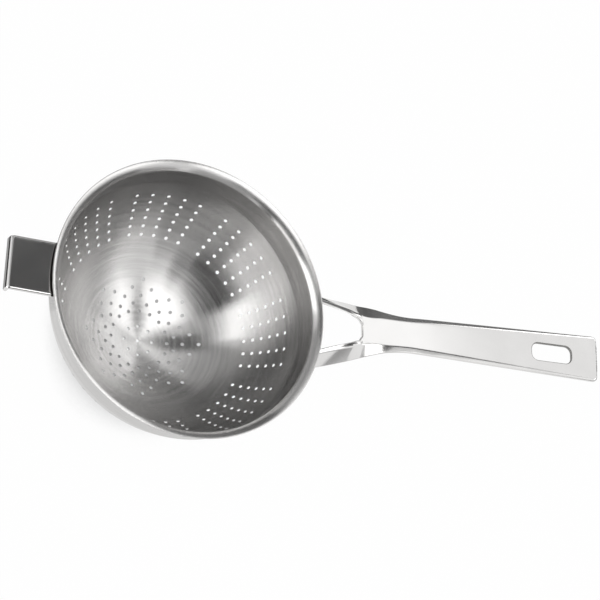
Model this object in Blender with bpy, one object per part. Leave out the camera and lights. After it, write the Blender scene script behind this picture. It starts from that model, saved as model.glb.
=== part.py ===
# Perforated colander: a pressed bowl with a pouring lip, a forked flat handle and a hook rest.
# Metres, +Z up along the bowl's axis, +X towards the handle. The origin is under the middle of the whole
# object, at the height of the bowl's lowest point.
import math

import bmesh
import bpy
from mathutils import Matrix, Vector

# Bowl: one pressed sheet
SHEET = 0.0008                          # sheet thickness
BOWL_RADIUS = 0.1023                    # inside radius of the round bottom
BAND_FOOT = 0.0711                      # height where the round turns into the straight band
BAND_HEIGHT = 0.0203
BAND_DRAFT = math.radians(3.6)          # the band opens upwards by this angle
LIP_WIDTH = 0.0086                      # flared pouring lip, along its slope
LIP_SLOPE = math.radians(37.0)          # above the horizontal
LIP_TURN = 0.0017                       # short chamfer between the band and the lip
BOWL_SIDES = 40

# Perforation
HOLE_DIAMETER = 0.0027
HOLE_SIDES = 5
SIDE_GROUPS = 8
GROUP_COLUMNS = 5
GROUP_ROWS = 6
COLUMN_ANGLE = math.radians(7.86)       # between two columns of one group
ROW_PITCH = 0.00693                     # along the inside wall
TOP_ROW_DROP = 0.0138                   # from the band's foot down the wall to the top row
BOTTOM_PITCH = 0.00554                  # the bottom's rings lie at whole multiples of this radius
BOTTOM_FACETS = (1.0, 3.0, 5.5, 8.7)    # rings of facets of the bottom, in the same pitch

# Stock of the handle and the hook
PLATE = 0.0030
HOOK_PLATE = 0.0034
GAP = 0.0003                            # clearance between pieces that touch

# Handle, measured outwards from the bowl's wall unless said
GRIP_LENGTH = 0.2290                    # wall to tip
FORK_LENGTH = 0.0420                    # wall to the straight edge between the arms
WING_LENGTH = 0.0560                    # wall to where the edges start to turn down
NECK_LENGTH = 0.0800                    # wall to the narrowest place
BEND_LENGTH = 0.1010                    # wall to where the grip becomes straight in side view
GRIP_ABOVE_LIP = 0.0040                 # top of the tip above the lip's edge
GRIP_RISE = math.radians(3.4)           # slope of the straight grip
BEND_RADIUS = 0.645                     # side-view curve between the grip and the fork
NECK_WIDTH = 0.0276
TIP_WIDTH = 0.0360
TIP_CORNER = 0.0035
FLAT_NECK_WIDTH = 0.0198                # flat top face at the neck
FLAT_TIP_WIDTH = 0.0330                 # flat top face at the tip
SHOULDER_DROP = 0.0012                  # rounded shoulder beside the flat face
CREASE_DROP = 0.0005                    # drop of the shoulder's crease
CREASE_AT_FORK = 0.0014                 # crease to flat face, beside the fork's edge
FORK_GAP = 0.0152                       # clear width between the arms at the fork's edge
FLARE_RADIUS = 0.103                    # plan curve that widens the neck into the arms
WING_SLOPE = 0.33                       # drop of the arms' lower edge for each unit towards the bowl
SLOT_LENGTH = 0.0320
SLOT_WIDTH = 0.0136
SLOT_FROM_TIP = 0.0367                  # tip to the slot's centre

# Arms and feet
ARM_TOP_FACE = 0.0039                   # width of an arm's top face beside the fork
ARM_TOP_TILT = 0.0006                   # its inner side is this much higher
RIDGE_SPREAD = 0.39                     # sideways run of the top edge for each unit towards the bowl
RIDGE_FALL = 0.02                       # its drop for each unit towards the bowl
RIDGE_HOLD = 0.42                       # share of the arm's run that keeps this direction
RIDGE_LEAD = 0.0081                     # length over which it turns along the wall
EDGE_SPREAD = 0.34                      # the same four for the lower edge
EDGE_FALL = 0.42
EDGE_HOLD = 0.70
EDGE_LEAD = 0.0112
FOOT_SPREAD = 0.0288                    # sideways distance from the handle's axis to a foot's start
FOOT_LEAN = 0.0100                      # the lower edge reaches the wall this much further round
FOOT_LENGTH = 0.0165                    # along the wall
FOOT_HEIGHT = 0.0130
FOOT_BELOW_LIP = 0.0177                 # lip's edge to the foot's top
WELD_LEG = 0.0020
ARM_STEPS = 9                           # sections along an arm, the first one close to the fork's edge
FIRST_SHARE = 0.04                      # the first section's place along the arm's curve
FOOT_STEPS = 5
TOP_SHARE = 0.3                         # extra section point, from the inner to the outer top corner
SIDE_SHARE = 0.4                        # the other one, from the top to the bottom inner corner
KINK_MARGIN = 0.0010                    # the foot's inner face bends at least this far from its edges

# Hook, opposite the handle but a little off its line
HOOK_OFF_LINE = math.radians(4.4)
HOOK_WIDTH = 0.0412
HOOK_REACH = 0.1357                     # bowl axis to the toe's outer face
HOOK_BELOW_LIP = 0.0043                 # lip's edge to the plate's top, under the lip
HOOK_DROOP = math.radians(7.0)
HOOK_TOE = 0.0076                       # plate's top to the toe's lower end
HOOK_TOE_BEND = 0.0004                  # inside radius at the toe
WELD_MARGIN = 0.0050                    # the weld stops this far inside the hook's sides


# Sizes that follow from the ones above
OUTER_RADIUS = BOWL_RADIUS + SHEET
BAND_TOP = BAND_FOOT + BAND_HEIGHT
BAND_FOOT_ANGLE = math.acos((OUTER_RADIUS - BAND_FOOT) / BOWL_RADIUS)   # from the downward axis
BAND_FOOT_RADIUS = math.sqrt(BOWL_RADIUS ** 2 - (OUTER_RADIUS - BAND_FOOT) ** 2)
BAND_TOP_RADIUS = BAND_FOOT_RADIUS + BAND_HEIGHT * math.tan(BAND_DRAFT)
LIP_TOP = BAND_TOP + LIP_WIDTH * math.sin(LIP_SLOPE)


def wall_radius(height):
    """Outside radius of the bowl at a height on the round or the band."""
    if height < BAND_FOOT:
        return math.sqrt(OUTER_RADIUS ** 2 - (OUTER_RADIUS - height) ** 2)
    foot = math.sqrt(OUTER_RADIUS ** 2 - (OUTER_RADIUS - BAND_FOOT) ** 2)
    return foot + (height - BAND_FOOT) * math.tan(BAND_DRAFT)


WALL = wall_radius(BAND_TOP)            # where the handle's lengths start
PUNCH_LENGTH = 12 * SHEET
TIP_REACH = WALL + GRIP_LENGTH
HOOK_WELD = min(WELD_LEG, HOOK_PLATE / 2)   # the plate's thickness limits this weld
HOOK_SIDE_REACH = HOOK_REACH * math.cos(HOOK_OFF_LINE) + HOOK_WIDTH / 2 * math.sin(HOOK_OFF_LINE)


def material(name, colour, roughness):
    made = bpy.data.materials.new(name)
    made.use_nodes = True
    shader = made.node_tree.nodes["Principled BSDF"]
    shader.inputs["Base Color"].default_value = (*colour, 1.0)
    shader.inputs["Metallic"].default_value = 1.0
    shader.inputs["Roughness"].default_value = roughness
    return made


def finish(bm, name, finish_material, parent):
    bmesh.ops.recalc_face_normals(bm, faces=bm.faces)
    mesh = bpy.data.meshes.new(name)
    bm.to_mesh(mesh)
    bm.free()
    mesh.materials.append(finish_material)
    mesh.shade_smooth()
    mesh.set_sharp_from_angle(angle=math.radians(30.0))
    made = bpy.data.objects.new(name, mesh)
    bpy.context.scene.collection.objects.link(made)
    made.parent = parent
    return made


def cut_away(target, cutter):
    cutter.data.shade_flat()
    cutter.hide_render = True
    cutter.display_type = 'WIRE'
    cut = target.modifiers.new("cut", 'BOOLEAN')
    cut.operation = 'DIFFERENCE'
    cut.solver = 'EXACT'
    cut.object = cutter


def loft(bm, sections):
    """Skin closed sections of equal point counts and cap both ends."""
    rings = [[bm.verts.new(point) for point in section] for section in sections]
    count = len(rings[0])
    for low, high in zip(rings, rings[1:]):
        for i in range(count):
            j = (i + 1) % count
            bm.faces.new((low[i], low[j], high[j], high[i]))
    bm.faces.new(rings[0][::-1])
    bm.faces.new(rings[-1])
    return rings


def polar(radius, angle, height):
    return Vector((radius * math.cos(angle), radius * math.sin(angle), height))


# Bowl
def ring(bm, radius, height, sides):
    return [bm.verts.new(polar(radius, 2 * math.pi * i / sides, height)) for i in range(sides)]


def join_rings(bm, low, high):
    """Join two rings; the higher one has as many points as the lower, or twice as many."""
    count = len(low)
    for i in range(count):
        j = (i + 1) % count
        if len(high) == count:
            bm.faces.new((low[i], low[j], high[j], high[i]))
        else:
            middle = high[2 * i + 1]
            bm.faces.new((low[i], middle, high[2 * i]))
            bm.faces.new((low[i], low[j], middle))
            bm.faces.new((low[j], high[(2 * i + 2) % len(high)], middle))


def row_angle(row):
    """Angle of a row of side holes from the downward axis; row 0 is the top row."""
    return BAND_FOOT_ANGLE - (TOP_ROW_DROP + row * ROW_PITCH) / BOWL_RADIUS


def round_angles():
    """Polar angles of the rings of the round part, from the bottom up, between the holes."""
    low = [math.asin(turns * BOTTOM_PITCH / BOWL_RADIUS) for turns in BOTTOM_FACETS]
    side_low = row_angle(GROUP_ROWS - 0.5)
    rows = [row_angle(row - 0.5) for row in range(GROUP_ROWS, -1, -1)]
    return low + [(low[-1] + side_low) / 2] + rows + [BAND_FOOT_ANGLE]


def shell_side(bm, offset):
    """One face of the sheet, offset outwards from the inside; returns its top ring."""
    centre = OUTER_RADIUS
    radius = BOWL_RADIUS + offset
    pole = bm.verts.new((0.0, 0.0, centre - radius))
    rings = []
    for index, angle in enumerate(round_angles()):
        sides = BOWL_SIDES // 2 if index < 3 else BOWL_SIDES
        rings.append(ring(bm, radius * math.sin(angle), centre - radius * math.cos(angle), sides))
    for i in range(len(rings[0])):
        bm.faces.new((pole, rings[0][i], rings[0][(i + 1) % len(rings[0])]))
    side = offset / math.cos(BAND_DRAFT)
    rings.append(ring(bm, BAND_TOP_RADIUS + side, BAND_TOP, BOWL_SIDES))
    half = (BAND_DRAFT + math.pi / 2 - LIP_SLOPE) / 2
    rings.append(ring(bm, BAND_TOP_RADIUS + LIP_TURN * math.sin(half) + offset * math.cos(half),
                      BAND_TOP + LIP_TURN * math.cos(half) - offset * math.sin(half), BOWL_SIDES))
    rings.append(ring(bm, BAND_TOP_RADIUS + LIP_WIDTH * math.cos(LIP_SLOPE) + offset * math.sin(LIP_SLOPE),
                      LIP_TOP - offset * math.cos(LIP_SLOPE), BOWL_SIDES))
    for low, high in zip(rings, rings[1:]):
        join_rings(bm, low, high)
    return rings[-1]


def punch(bm, centre, axis):
    """One prism that punches a hole through the sheet."""
    turned = Vector((0.0, 0.0, 1.0)).rotation_difference(axis).to_matrix().to_4x4()
    bmesh.ops.create_cone(bm, cap_ends=True, segments=HOLE_SIDES, radius1=HOLE_DIAMETER / 2,
                          radius2=HOLE_DIAMETER / 2, depth=PUNCH_LENGTH,
                          matrix=Matrix.Translation(centre) @ turned)


def bottom_rings():
    """Radius in pitches, how many holes, and the angle of the first one."""
    step = 2 * math.pi / 16
    return [(2, 8, 0.0), (4, 16, 0.0), (5, 16, step / 2), (6, 16, 0.0), (7, 16, step / 2), (8, 8, 0.0)]


def hole_punches(parent, steel):
    bm = bmesh.new()
    middle = Vector((0.0, 0.0, OUTER_RADIUS))
    for group in range(SIDE_GROUPS):
        for column in range(GROUP_COLUMNS):
            turn = 2 * math.pi * group / SIDE_GROUPS + (column - (GROUP_COLUMNS - 1) / 2) * COLUMN_ANGLE
            for row in range(GROUP_ROWS):
                angle = row_angle(row)
                axis = polar(math.sin(angle), turn, -math.cos(angle))
                punch(bm, middle + axis * (BOWL_RADIUS + SHEET / 2), axis)
    punch(bm, Vector((0.0, 0.0, SHEET / 2)), Vector((0.0, 0.0, 1.0)))
    for turns, count, first in bottom_rings():
        radius = turns * BOTTOM_PITCH
        height = OUTER_RADIUS - math.sqrt(BOWL_RADIUS ** 2 - radius ** 2)
        for i in range(count):
            centre = polar(radius, first + 2 * math.pi * i / count, height)
            punch(bm, centre, Vector((0.0, 0.0, 1.0)))
    return finish(bm, "hole_punches", steel, parent)


def make_bowl(parent):
    steel = material("bowl_brushed_stainless", (0.62, 0.61, 0.59), 0.30)
    bm = bmesh.new()
    inside = shell_side(bm, 0.0)
    outside = shell_side(bm, SHEET)
    join_rings(bm, inside, outside)
    bowl = finish(bm, "bowl", steel, parent)
    cut_away(bowl, hole_punches(parent, steel))


# Handle
def grip_top(reach):
    """Height of the flat top face at a distance from the bowl's axis."""
    straight = WALL + BEND_LENGTH
    height = LIP_TOP + GRIP_ABOVE_LIP - (TIP_REACH - reach) * math.tan(GRIP_RISE)
    return height - max(0.0, straight - reach) ** 2 / (2 * BEND_RADIUS)


def outer_half_width(reach):
    neck = WALL + NECK_LENGTH
    wing = WALL + WING_LENGTH
    if reach >= neck:
        half = NECK_WIDTH / 2 + (TIP_WIDTH - NECK_WIDTH) / 2 * (reach - neck) / (TIP_REACH - neck)
        into = max(0.0, reach - (TIP_REACH - TIP_CORNER))
        return half - TIP_CORNER + math.sqrt(max(0.0, TIP_CORNER ** 2 - into ** 2))
    curved = max(reach, wing)
    half = NECK_WIDTH / 2 + (neck - curved) ** 2 / (2 * FLARE_RADIUS)
    return half + (curved - reach) * (neck - wing) / FLARE_RADIUS


def flat_half_width(reach):
    neck = WALL + NECK_LENGTH
    share = max(0.0, (reach - neck) / (TIP_REACH - neck))
    half = (FLAT_NECK_WIDTH + (FLAT_TIP_WIDTH - FLAT_NECK_WIDTH) * share) / 2
    return min(half, outer_half_width(reach) - SHOULDER_DROP)


def wing_share(reach):
    """0 on the grip, 1 at the fork's edge, in between where the edges turn down."""
    fork = WALL + FORK_LENGTH
    wing = WALL + WING_LENGTH
    return min(1.0, max(0.0, (wing - reach) / (wing - fork)))


def grip_half_section(reach):
    """Half of the grip's section: flat top, crease, shoulder's edge and underside, from the middle out."""
    top = grip_top(reach)
    flat = flat_half_width(reach)
    outer = outer_half_width(reach)
    turned = wing_share(reach)
    crease = flat + (outer - flat) / 2 * (1 - turned) + CREASE_AT_FORK * turned
    crease_drop = CREASE_DROP * (1 - turned)
    edge_drop = SHOULDER_DROP + max(0.0, WALL + WING_LENGTH - reach) * WING_SLOPE
    slope = math.atan2(edge_drop - crease_drop, outer - crease) * turned
    edge = PLATE - SHOULDER_DROP * (1 - turned)
    return [(FORK_GAP / 2, top), (flat, top), (crease, top - crease_drop), (outer, top - edge_drop),
            (outer - edge * math.sin(slope), top - edge_drop - edge * math.cos(slope)),
            (FORK_GAP / 2, top - PLATE)]


def grip_reaches():
    """Distances of the grip's sections from the axis, from the fork's edge to the tip."""
    fork = WALL + FORK_LENGTH
    corner = TIP_REACH - TIP_CORNER
    turning = [fork + (WALL + NECK_LENGTH - fork) * i / 8 for i in range(9)]
    straight = [WALL + BEND_LENGTH, (WALL + BEND_LENGTH + corner) / 2]
    tip = [corner + TIP_CORNER * math.sin(math.radians(a)) for a in (0, 30, 60, 85)]
    return turning + straight + tip


def bezier(points, t):
    a, b, c, d = points
    s = 1 - t
    return a * s ** 3 + b * (3 * s * s * t) + c * (3 * s * t * t) + d * t ** 3


def foot_outer(height, sideways):
    """Point on a foot's outer face, at a height and a sideways distance, and its angle round the bowl."""
    radius = wall_radius(height) + GAP + PLATE
    angle = math.asin(sideways / radius)
    return polar(radius, angle, height), angle


def arm_curve(start, spread, fall, hold, end, angle, lead):
    """Curve from the fork's edge to a foot, which it reaches along the wall."""
    away = Vector((-1.0, spread, -fall)) * (start.x - end.x) * hold
    along_wall = Vector((math.sin(angle), -math.cos(angle), 0.0)) * lead
    return start, start + away, end + along_wall, end


def arm_sections(start):
    """Sections of one arm, from the fork's edge round to the foot's start, as six points each."""
    foot_top = LIP_TOP - FOOT_BELOW_LIP
    ridge_end, angle = foot_outer(foot_top, FOOT_SPREAD)
    ridge_curve = arm_curve(start[2], RIDGE_SPREAD, RIDGE_FALL, RIDGE_HOLD, ridge_end, angle, RIDGE_LEAD)
    lower_end, angle = foot_outer(foot_top - FOOT_HEIGHT, FOOT_SPREAD + FOOT_LEAN)
    lower_curve = arm_curve(start[3], EDGE_SPREAD, EDGE_FALL, EDGE_HOLD, lower_end, angle, EDGE_LEAD)
    sections = []
    for t in [FIRST_SHARE] + [step / ARM_STEPS for step in range(1, ARM_STEPS)]:
        high = bezier(ridge_curve, t)
        low = bezier(lower_curve, t)
        ahead = bezier(ridge_curve, t + 0.01) - bezier(ridge_curve, t - 0.01)
        outward = Vector((-ahead.y, ahead.x, 0.0)).normalized()
        if outward.y < 0:
            outward = -outward
        across = low - high
        slope = math.atan2(-across.z, across.dot(outward))
        top_face = ARM_TOP_FACE + (PLATE - ARM_TOP_FACE) * t
        inner_top = high - outward * top_face + Vector((0.0, 0.0, ARM_TOP_TILT * (1 - t)))
        inner_low = low - outward * (PLATE * math.sin(slope)) - Vector((0.0, 0.0, PLATE * math.cos(slope)))
        # Two more points make six, as the grip's section has beside the fork
        sections.append([inner_top, inner_top.lerp(high, TOP_SHARE), high, low, inner_low,
                         inner_top.lerp(inner_low, SIDE_SHARE)])
    return sections


def foot_sections():
    """Sections of one foot, which follows the wall, from the arm to its free end."""
    top = LIP_TOP - FOOT_BELOW_LIP
    low = top - FOOT_HEIGHT
    kink = min(max(BAND_FOOT, low + KINK_MARGIN), top - KINK_MARGIN)
    first_top = foot_outer(top, FOOT_SPREAD)[1]
    first_low = foot_outer(low, FOOT_SPREAD + FOOT_LEAN)[1]
    turn = FOOT_LENGTH / wall_radius(top)
    sections = []
    for step in range(FOOT_STEPS + 1):
        share = step / FOOT_STEPS
        angle_top = first_top + turn * share
        angle_low = first_low + (first_top + turn - first_low) * share
        angle_kink = angle_low + (angle_top - angle_low) * (kink - low) / (top - low)
        inner_top = polar(wall_radius(top) + GAP, angle_top, top)
        outer_top = polar(wall_radius(top) + GAP + PLATE, angle_top, top)
        outer_low = polar(wall_radius(low) + GAP + PLATE, angle_low, low)
        inner_low = polar(wall_radius(low) + GAP, angle_low, low)
        inner_kink = polar(wall_radius(kink) + GAP, angle_kink, kink)
        sections.append([inner_top, inner_top.lerp(outer_top, TOP_SHARE), outer_top, outer_low, inner_low,
                         inner_kink])
    return sections


def mirrored(points):
    return [Vector((p[0], -p[1], p[2])) for p in points]


def slot_cutter(parent, steel):
    """Round-ended prism square to the grip's top face."""
    centre_reach = TIP_REACH - SLOT_FROM_TIP
    centre = Vector((centre_reach, 0.0, grip_top(centre_reach)))
    along = Vector((math.cos(GRIP_RISE), 0.0, math.sin(GRIP_RISE)))
    up = Vector((-math.sin(GRIP_RISE), 0.0, math.cos(GRIP_RISE)))
    across = up.cross(along)
    outline = []
    for end in (1, -1):
        for i in range(9):
            angle = math.pi * (i / 8 - 0.5) + (0.0 if end == 1 else math.pi)
            reach = end * (SLOT_LENGTH - SLOT_WIDTH) / 2 + SLOT_WIDTH / 2 * math.cos(angle)
            outline.append(centre + along * reach + across * (SLOT_WIDTH / 2 * math.sin(angle)))
    bm = bmesh.new()
    loft(bm, [[p + up * (side * 2 * PLATE) for p in outline] for side in (-1, 1)])
    return finish(bm, "slot_cutter", steel, parent)


def make_handle(parent):
    steel = material("handle_polished_stainless", (0.78, 0.78, 0.77), 0.12)
    bm = bmesh.new()
    right = [[Vector((reach, y, z)) for y, z in grip_half_section(reach)] for reach in grip_reaches()]
    whole = [half + mirrored(half)[::-1] for half in right]
    rings = [[bm.verts.new(point) for point in section] for section in whole]
    for low, high in zip(rings, rings[1:]):
        for i in range(12):
            j = (i + 1) % 12
            bm.faces.new((low[i], low[j], high[j], high[i]))
    bm.faces.new(rings[-1])
    first = rings[0]
    bm.faces.new((first[0], first[5], first[6], first[11]))
    arm = arm_sections(right[0]) + foot_sections()
    for start, side in ((first[:6], arm), (first[:5:-1], [mirrored(section) for section in arm])):
        previous = start
        for section in side:
            current = [bm.verts.new(point) for point in section]
            for i in range(6):
                j = (i + 1) % 6
                bm.faces.new((previous[i], previous[j], current[j], current[i]))
            previous = current
        bm.faces.new(previous)
    bmesh.ops.triangulate(bm, faces=[face for face in bm.faces if len(face.verts) == 4])
    handle = finish(bm, "handle", steel, parent)
    cut_away(handle, slot_cutter(parent, steel))


# Hook
def hook_top(reach):
    """Height of the hook plate's top face at a distance from the bowl's axis, along the hook."""
    return LIP_TOP - HOOK_BELOW_LIP - (reach - WALL) * math.tan(HOOK_DROOP)


def arc(centre, radius, first, last, steps):
    return [(centre[0] + radius * math.cos(math.radians(first + (last - first) * i / steps)),
             centre[1] + radius * math.sin(math.radians(first + (last - first) * i / steps)))
            for i in range(steps + 1)]


def hook_under(reach):
    return hook_top(reach) - HOOK_PLATE / math.cos(HOOK_DROOP)


def hook_outline(sideways):
    """Side-view outline of the hook strip at a sideways distance from its middle."""
    def seat(height):
        return math.sqrt((wall_radius(height) + GAP) ** 2 - sideways ** 2)
    wall = WALL - sideways ** 2 / (2 * WALL)
    # The root's lower edge is cut away for the weld
    low_x = seat(hook_under(wall)) + HOOK_WELD
    low = hook_under(low_x)
    middle = low + HOOK_WELD
    # The top corner stops where the plate's top meets the lip's underside
    above = hook_top(wall) - BAND_TOP + (SHEET + GAP) / math.cos(LIP_SLOPE)
    corner = max(seat(middle), wall + above / (math.tan(LIP_SLOPE) + math.tan(HOOK_DROOP)))
    square = 90.0 - math.degrees(HOOK_DROOP)
    outside = HOOK_TOE_BEND + HOOK_PLATE
    toe_x = HOOK_REACH - outside
    toe = (toe_x, hook_top(toe_x) - outside / math.cos(HOOK_DROOP))
    toe_end = hook_top(toe_x) - HOOK_TOE
    points = [(low_x, low), (seat(middle), middle), (corner, hook_top(corner))]
    points += arc(toe, outside, square, 0.0, 4)
    points += [(HOOK_REACH, toe_end), (HOOK_REACH - HOOK_PLATE, toe_end)]
    points += arc(toe, HOOK_TOE_BEND, 0.0, square, 2)
    return points


def make_hook(parent):
    steel = material("hook_polished_stainless", (0.55, 0.55, 0.55), 0.15)
    turn = Matrix.Rotation(math.pi - HOOK_OFF_LINE, 3, 'Z')
    bm = bmesh.new()
    sections = []
    for i in range(9):
        sideways = HOOK_WIDTH * (i / 8 - 0.5)
        sections.append([turn @ Vector((x, sideways, z)) for x, z in hook_outline(sideways)])
    loft(bm, sections)
    finish(bm, "hook", steel, parent)


# Welds
def weld_bead(name, parent, sections):
    """Three-sided bead of weld metal; a section is three points as radius, angle and height."""
    steel = material(name + "_metal", (0.50, 0.49, 0.47), 0.45)
    bm = bmesh.new()
    loft(bm, [[polar(*point) for point in section] for section in sections])
    finish(bm, name, steel, parent)


def make_foot_welds(parent):
    """A fillet under each foot."""
    foot_top = LIP_TOP - FOOT_BELOW_LIP
    top = foot_top - FOOT_HEIGHT - GAP
    low = top - WELD_LEG
    first = foot_outer(foot_top - FOOT_HEIGHT, FOOT_SPREAD + FOOT_LEAN)[1]
    last = foot_outer(foot_top, FOOT_SPREAD)[1] + FOOT_LENGTH / wall_radius(foot_top)
    seat = wall_radius(top) + GAP
    for name, side in (("handle_weld_left", 1), ("handle_weld_right", -1)):
        angles = [side * (first + (last - first) * step / FOOT_STEPS) for step in range(FOOT_STEPS + 1)]
        weld_bead(name, parent, [[(wall_radius(low) + GAP, angle, low), (seat, angle, top),
                                  (seat + WELD_LEG, angle, top)] for angle in angles])


def make_hook_weld(parent):
    """A bead in the cut-away edge of the hook's root, inside the plane of the hook's underside."""
    leg = HOOK_WELD * (1 - math.tan(HOOK_DROOP)) - math.sqrt(2) * GAP
    spread = math.asin((HOOK_WIDTH / 2 - WELD_MARGIN) / WALL)
    sections = []
    for i in range(9):
        turn = spread * (i / 4 - 1)
        low = hook_under((WALL + GAP) * math.cos(turn))
        seat = wall_radius(low) + GAP
        angle = math.pi - HOOK_OFF_LINE + turn
        sections.append([(seat, angle, low), (seat + leg, angle, low), (seat, angle, low + leg)])
    weld_bead("hook_weld", parent, sections)


def main():
    for old in list(bpy.data.objects):
        bpy.data.objects.remove(old)
    colander = bpy.data.objects.new("colander", None)
    colander.location = (-(TIP_REACH - HOOK_SIDE_REACH) / 2, 0.0, 0.0)
    bpy.context.scene.collection.objects.link(colander)
    make_bowl(colander)
    make_handle(colander)
    make_hook(colander)
    make_foot_welds(colander)
    make_hook_weld(colander)
    bpy.context.view_layer.update()


main()
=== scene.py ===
# Stainless colander: perforated bowl, forked handle and pot hook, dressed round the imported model.
import math
import bmesh
import bpy
from mathutils import Matrix, Vector


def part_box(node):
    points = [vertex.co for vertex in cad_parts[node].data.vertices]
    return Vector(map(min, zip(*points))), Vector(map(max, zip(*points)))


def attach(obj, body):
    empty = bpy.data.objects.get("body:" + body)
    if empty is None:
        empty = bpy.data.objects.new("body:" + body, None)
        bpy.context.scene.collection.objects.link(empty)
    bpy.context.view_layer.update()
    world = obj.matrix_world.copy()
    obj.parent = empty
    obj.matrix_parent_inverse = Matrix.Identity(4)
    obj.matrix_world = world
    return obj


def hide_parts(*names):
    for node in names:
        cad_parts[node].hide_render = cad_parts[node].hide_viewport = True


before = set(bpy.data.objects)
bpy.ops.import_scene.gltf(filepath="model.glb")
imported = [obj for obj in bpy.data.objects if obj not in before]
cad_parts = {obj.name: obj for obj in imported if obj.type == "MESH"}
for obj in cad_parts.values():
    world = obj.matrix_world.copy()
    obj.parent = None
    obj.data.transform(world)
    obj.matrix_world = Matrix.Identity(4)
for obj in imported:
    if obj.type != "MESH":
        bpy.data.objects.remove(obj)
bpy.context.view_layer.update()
bowlLow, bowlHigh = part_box("bowl")
axisX = (bowlLow.x + bowlHigh.x) / 2    # the bowl's axis is upright, everything below is measured from it
print("frame loaded, bowl axis at x =", round(axisX, 4))


# Small helpers
def hexColour(code):
    values = [int(code[i:i + 2], 16) / 255 for i in (1, 3, 5)]
    return [v / 12.92 if v <= 0.04045 else ((v + 0.055) / 1.055) ** 2.4 for v in values] + [1.0]


def addNode(tree, kind, settings=None, links=None):
    node = tree.nodes.new(kind)
    for key, value in (settings or {}).items():
        if isinstance(key, int) or key in node.inputs:
            node.inputs[key].default_value = value
        else:
            setattr(node, key, value)
    for key, socket in (links or {}).items():
        tree.links.new(socket, node.inputs[key])
    return node


def polar(radius, turn, height):
    return Vector((radius * math.cos(turn), radius * math.sin(turn), height))


def placeMesh(bm, name, material):
    mesh = bpy.data.meshes.new(name)
    bm.to_mesh(mesh)
    bm.free()
    mesh.materials.append(material)
    thing = bpy.data.objects.new(name, mesh)
    bpy.context.scene.collection.objects.link(thing)
    return thing


def finishPiece(bm, name, material, slotName, *nodes, sharp=35):
    bm.transform(Matrix.Translation((axisX, 0, 0)))
    piece = placeMesh(bm, name, material)
    piece.data.shade_smooth()
    piece.data.set_sharp_from_angle(angle=math.radians(sharp))
    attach(piece, "root")
    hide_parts(*nodes)
    return piece


# Materials
def steel(name, colour, roughness):   # metal keeps the default IOR
    material = bpy.data.materials.new(name)
    material.use_nodes = True
    shader = material.node_tree.nodes["Principled BSDF"]
    shader.inputs["Base Color"].default_value = hexColour(colour)
    shader.inputs["Metallic"].default_value = 1.0
    shader.inputs["Roughness"].default_value = roughness
    return material, material.node_tree, shader


def dressSteel(tree, shader, look, patches, relief):
    # the tone and any unevenness of the roughness drift with the patches, and the relief
    # is cut into the skin
    usual = {"From Min": 0.3, "From Max": 0.7}   # where nearly all of a noise lies
    share = addNode(tree, "ShaderNodeMapRange", usual, {"Value": patches})
    mixed = addNode(tree, "ShaderNodeMix", {"data_type": 'RGBA', "clamp_factor": True},
                    {"Factor": share.outputs[0]})
    tones = [socket for socket in mixed.inputs if socket.type == 'RGBA']
    for socket, tone in zip(tones, (look["dark"], look["light"])):
        socket.default_value = hexColour(tone)
    colour = next(socket for socket in mixed.outputs if socket.type == 'RGBA')
    tree.links.new(colour, shader.inputs["Base Color"])
    if "uneven" in look:
        ends = {"To Min": look["roughness"] - look["uneven"], "To Max": look["roughness"] + look["uneven"]}
        rough = addNode(tree, "ShaderNodeMapRange", {**usual, **ends}, {"Value": patches})
        tree.links.new(rough.outputs[0], shader.inputs["Roughness"])
    bump = addNode(tree, "ShaderNodeBump", {"Strength": 1.0, "Distance": look["depth"]}, {"Height": relief})
    tree.links.new(bump.outputs[0], shader.inputs["Normal"])


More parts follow.
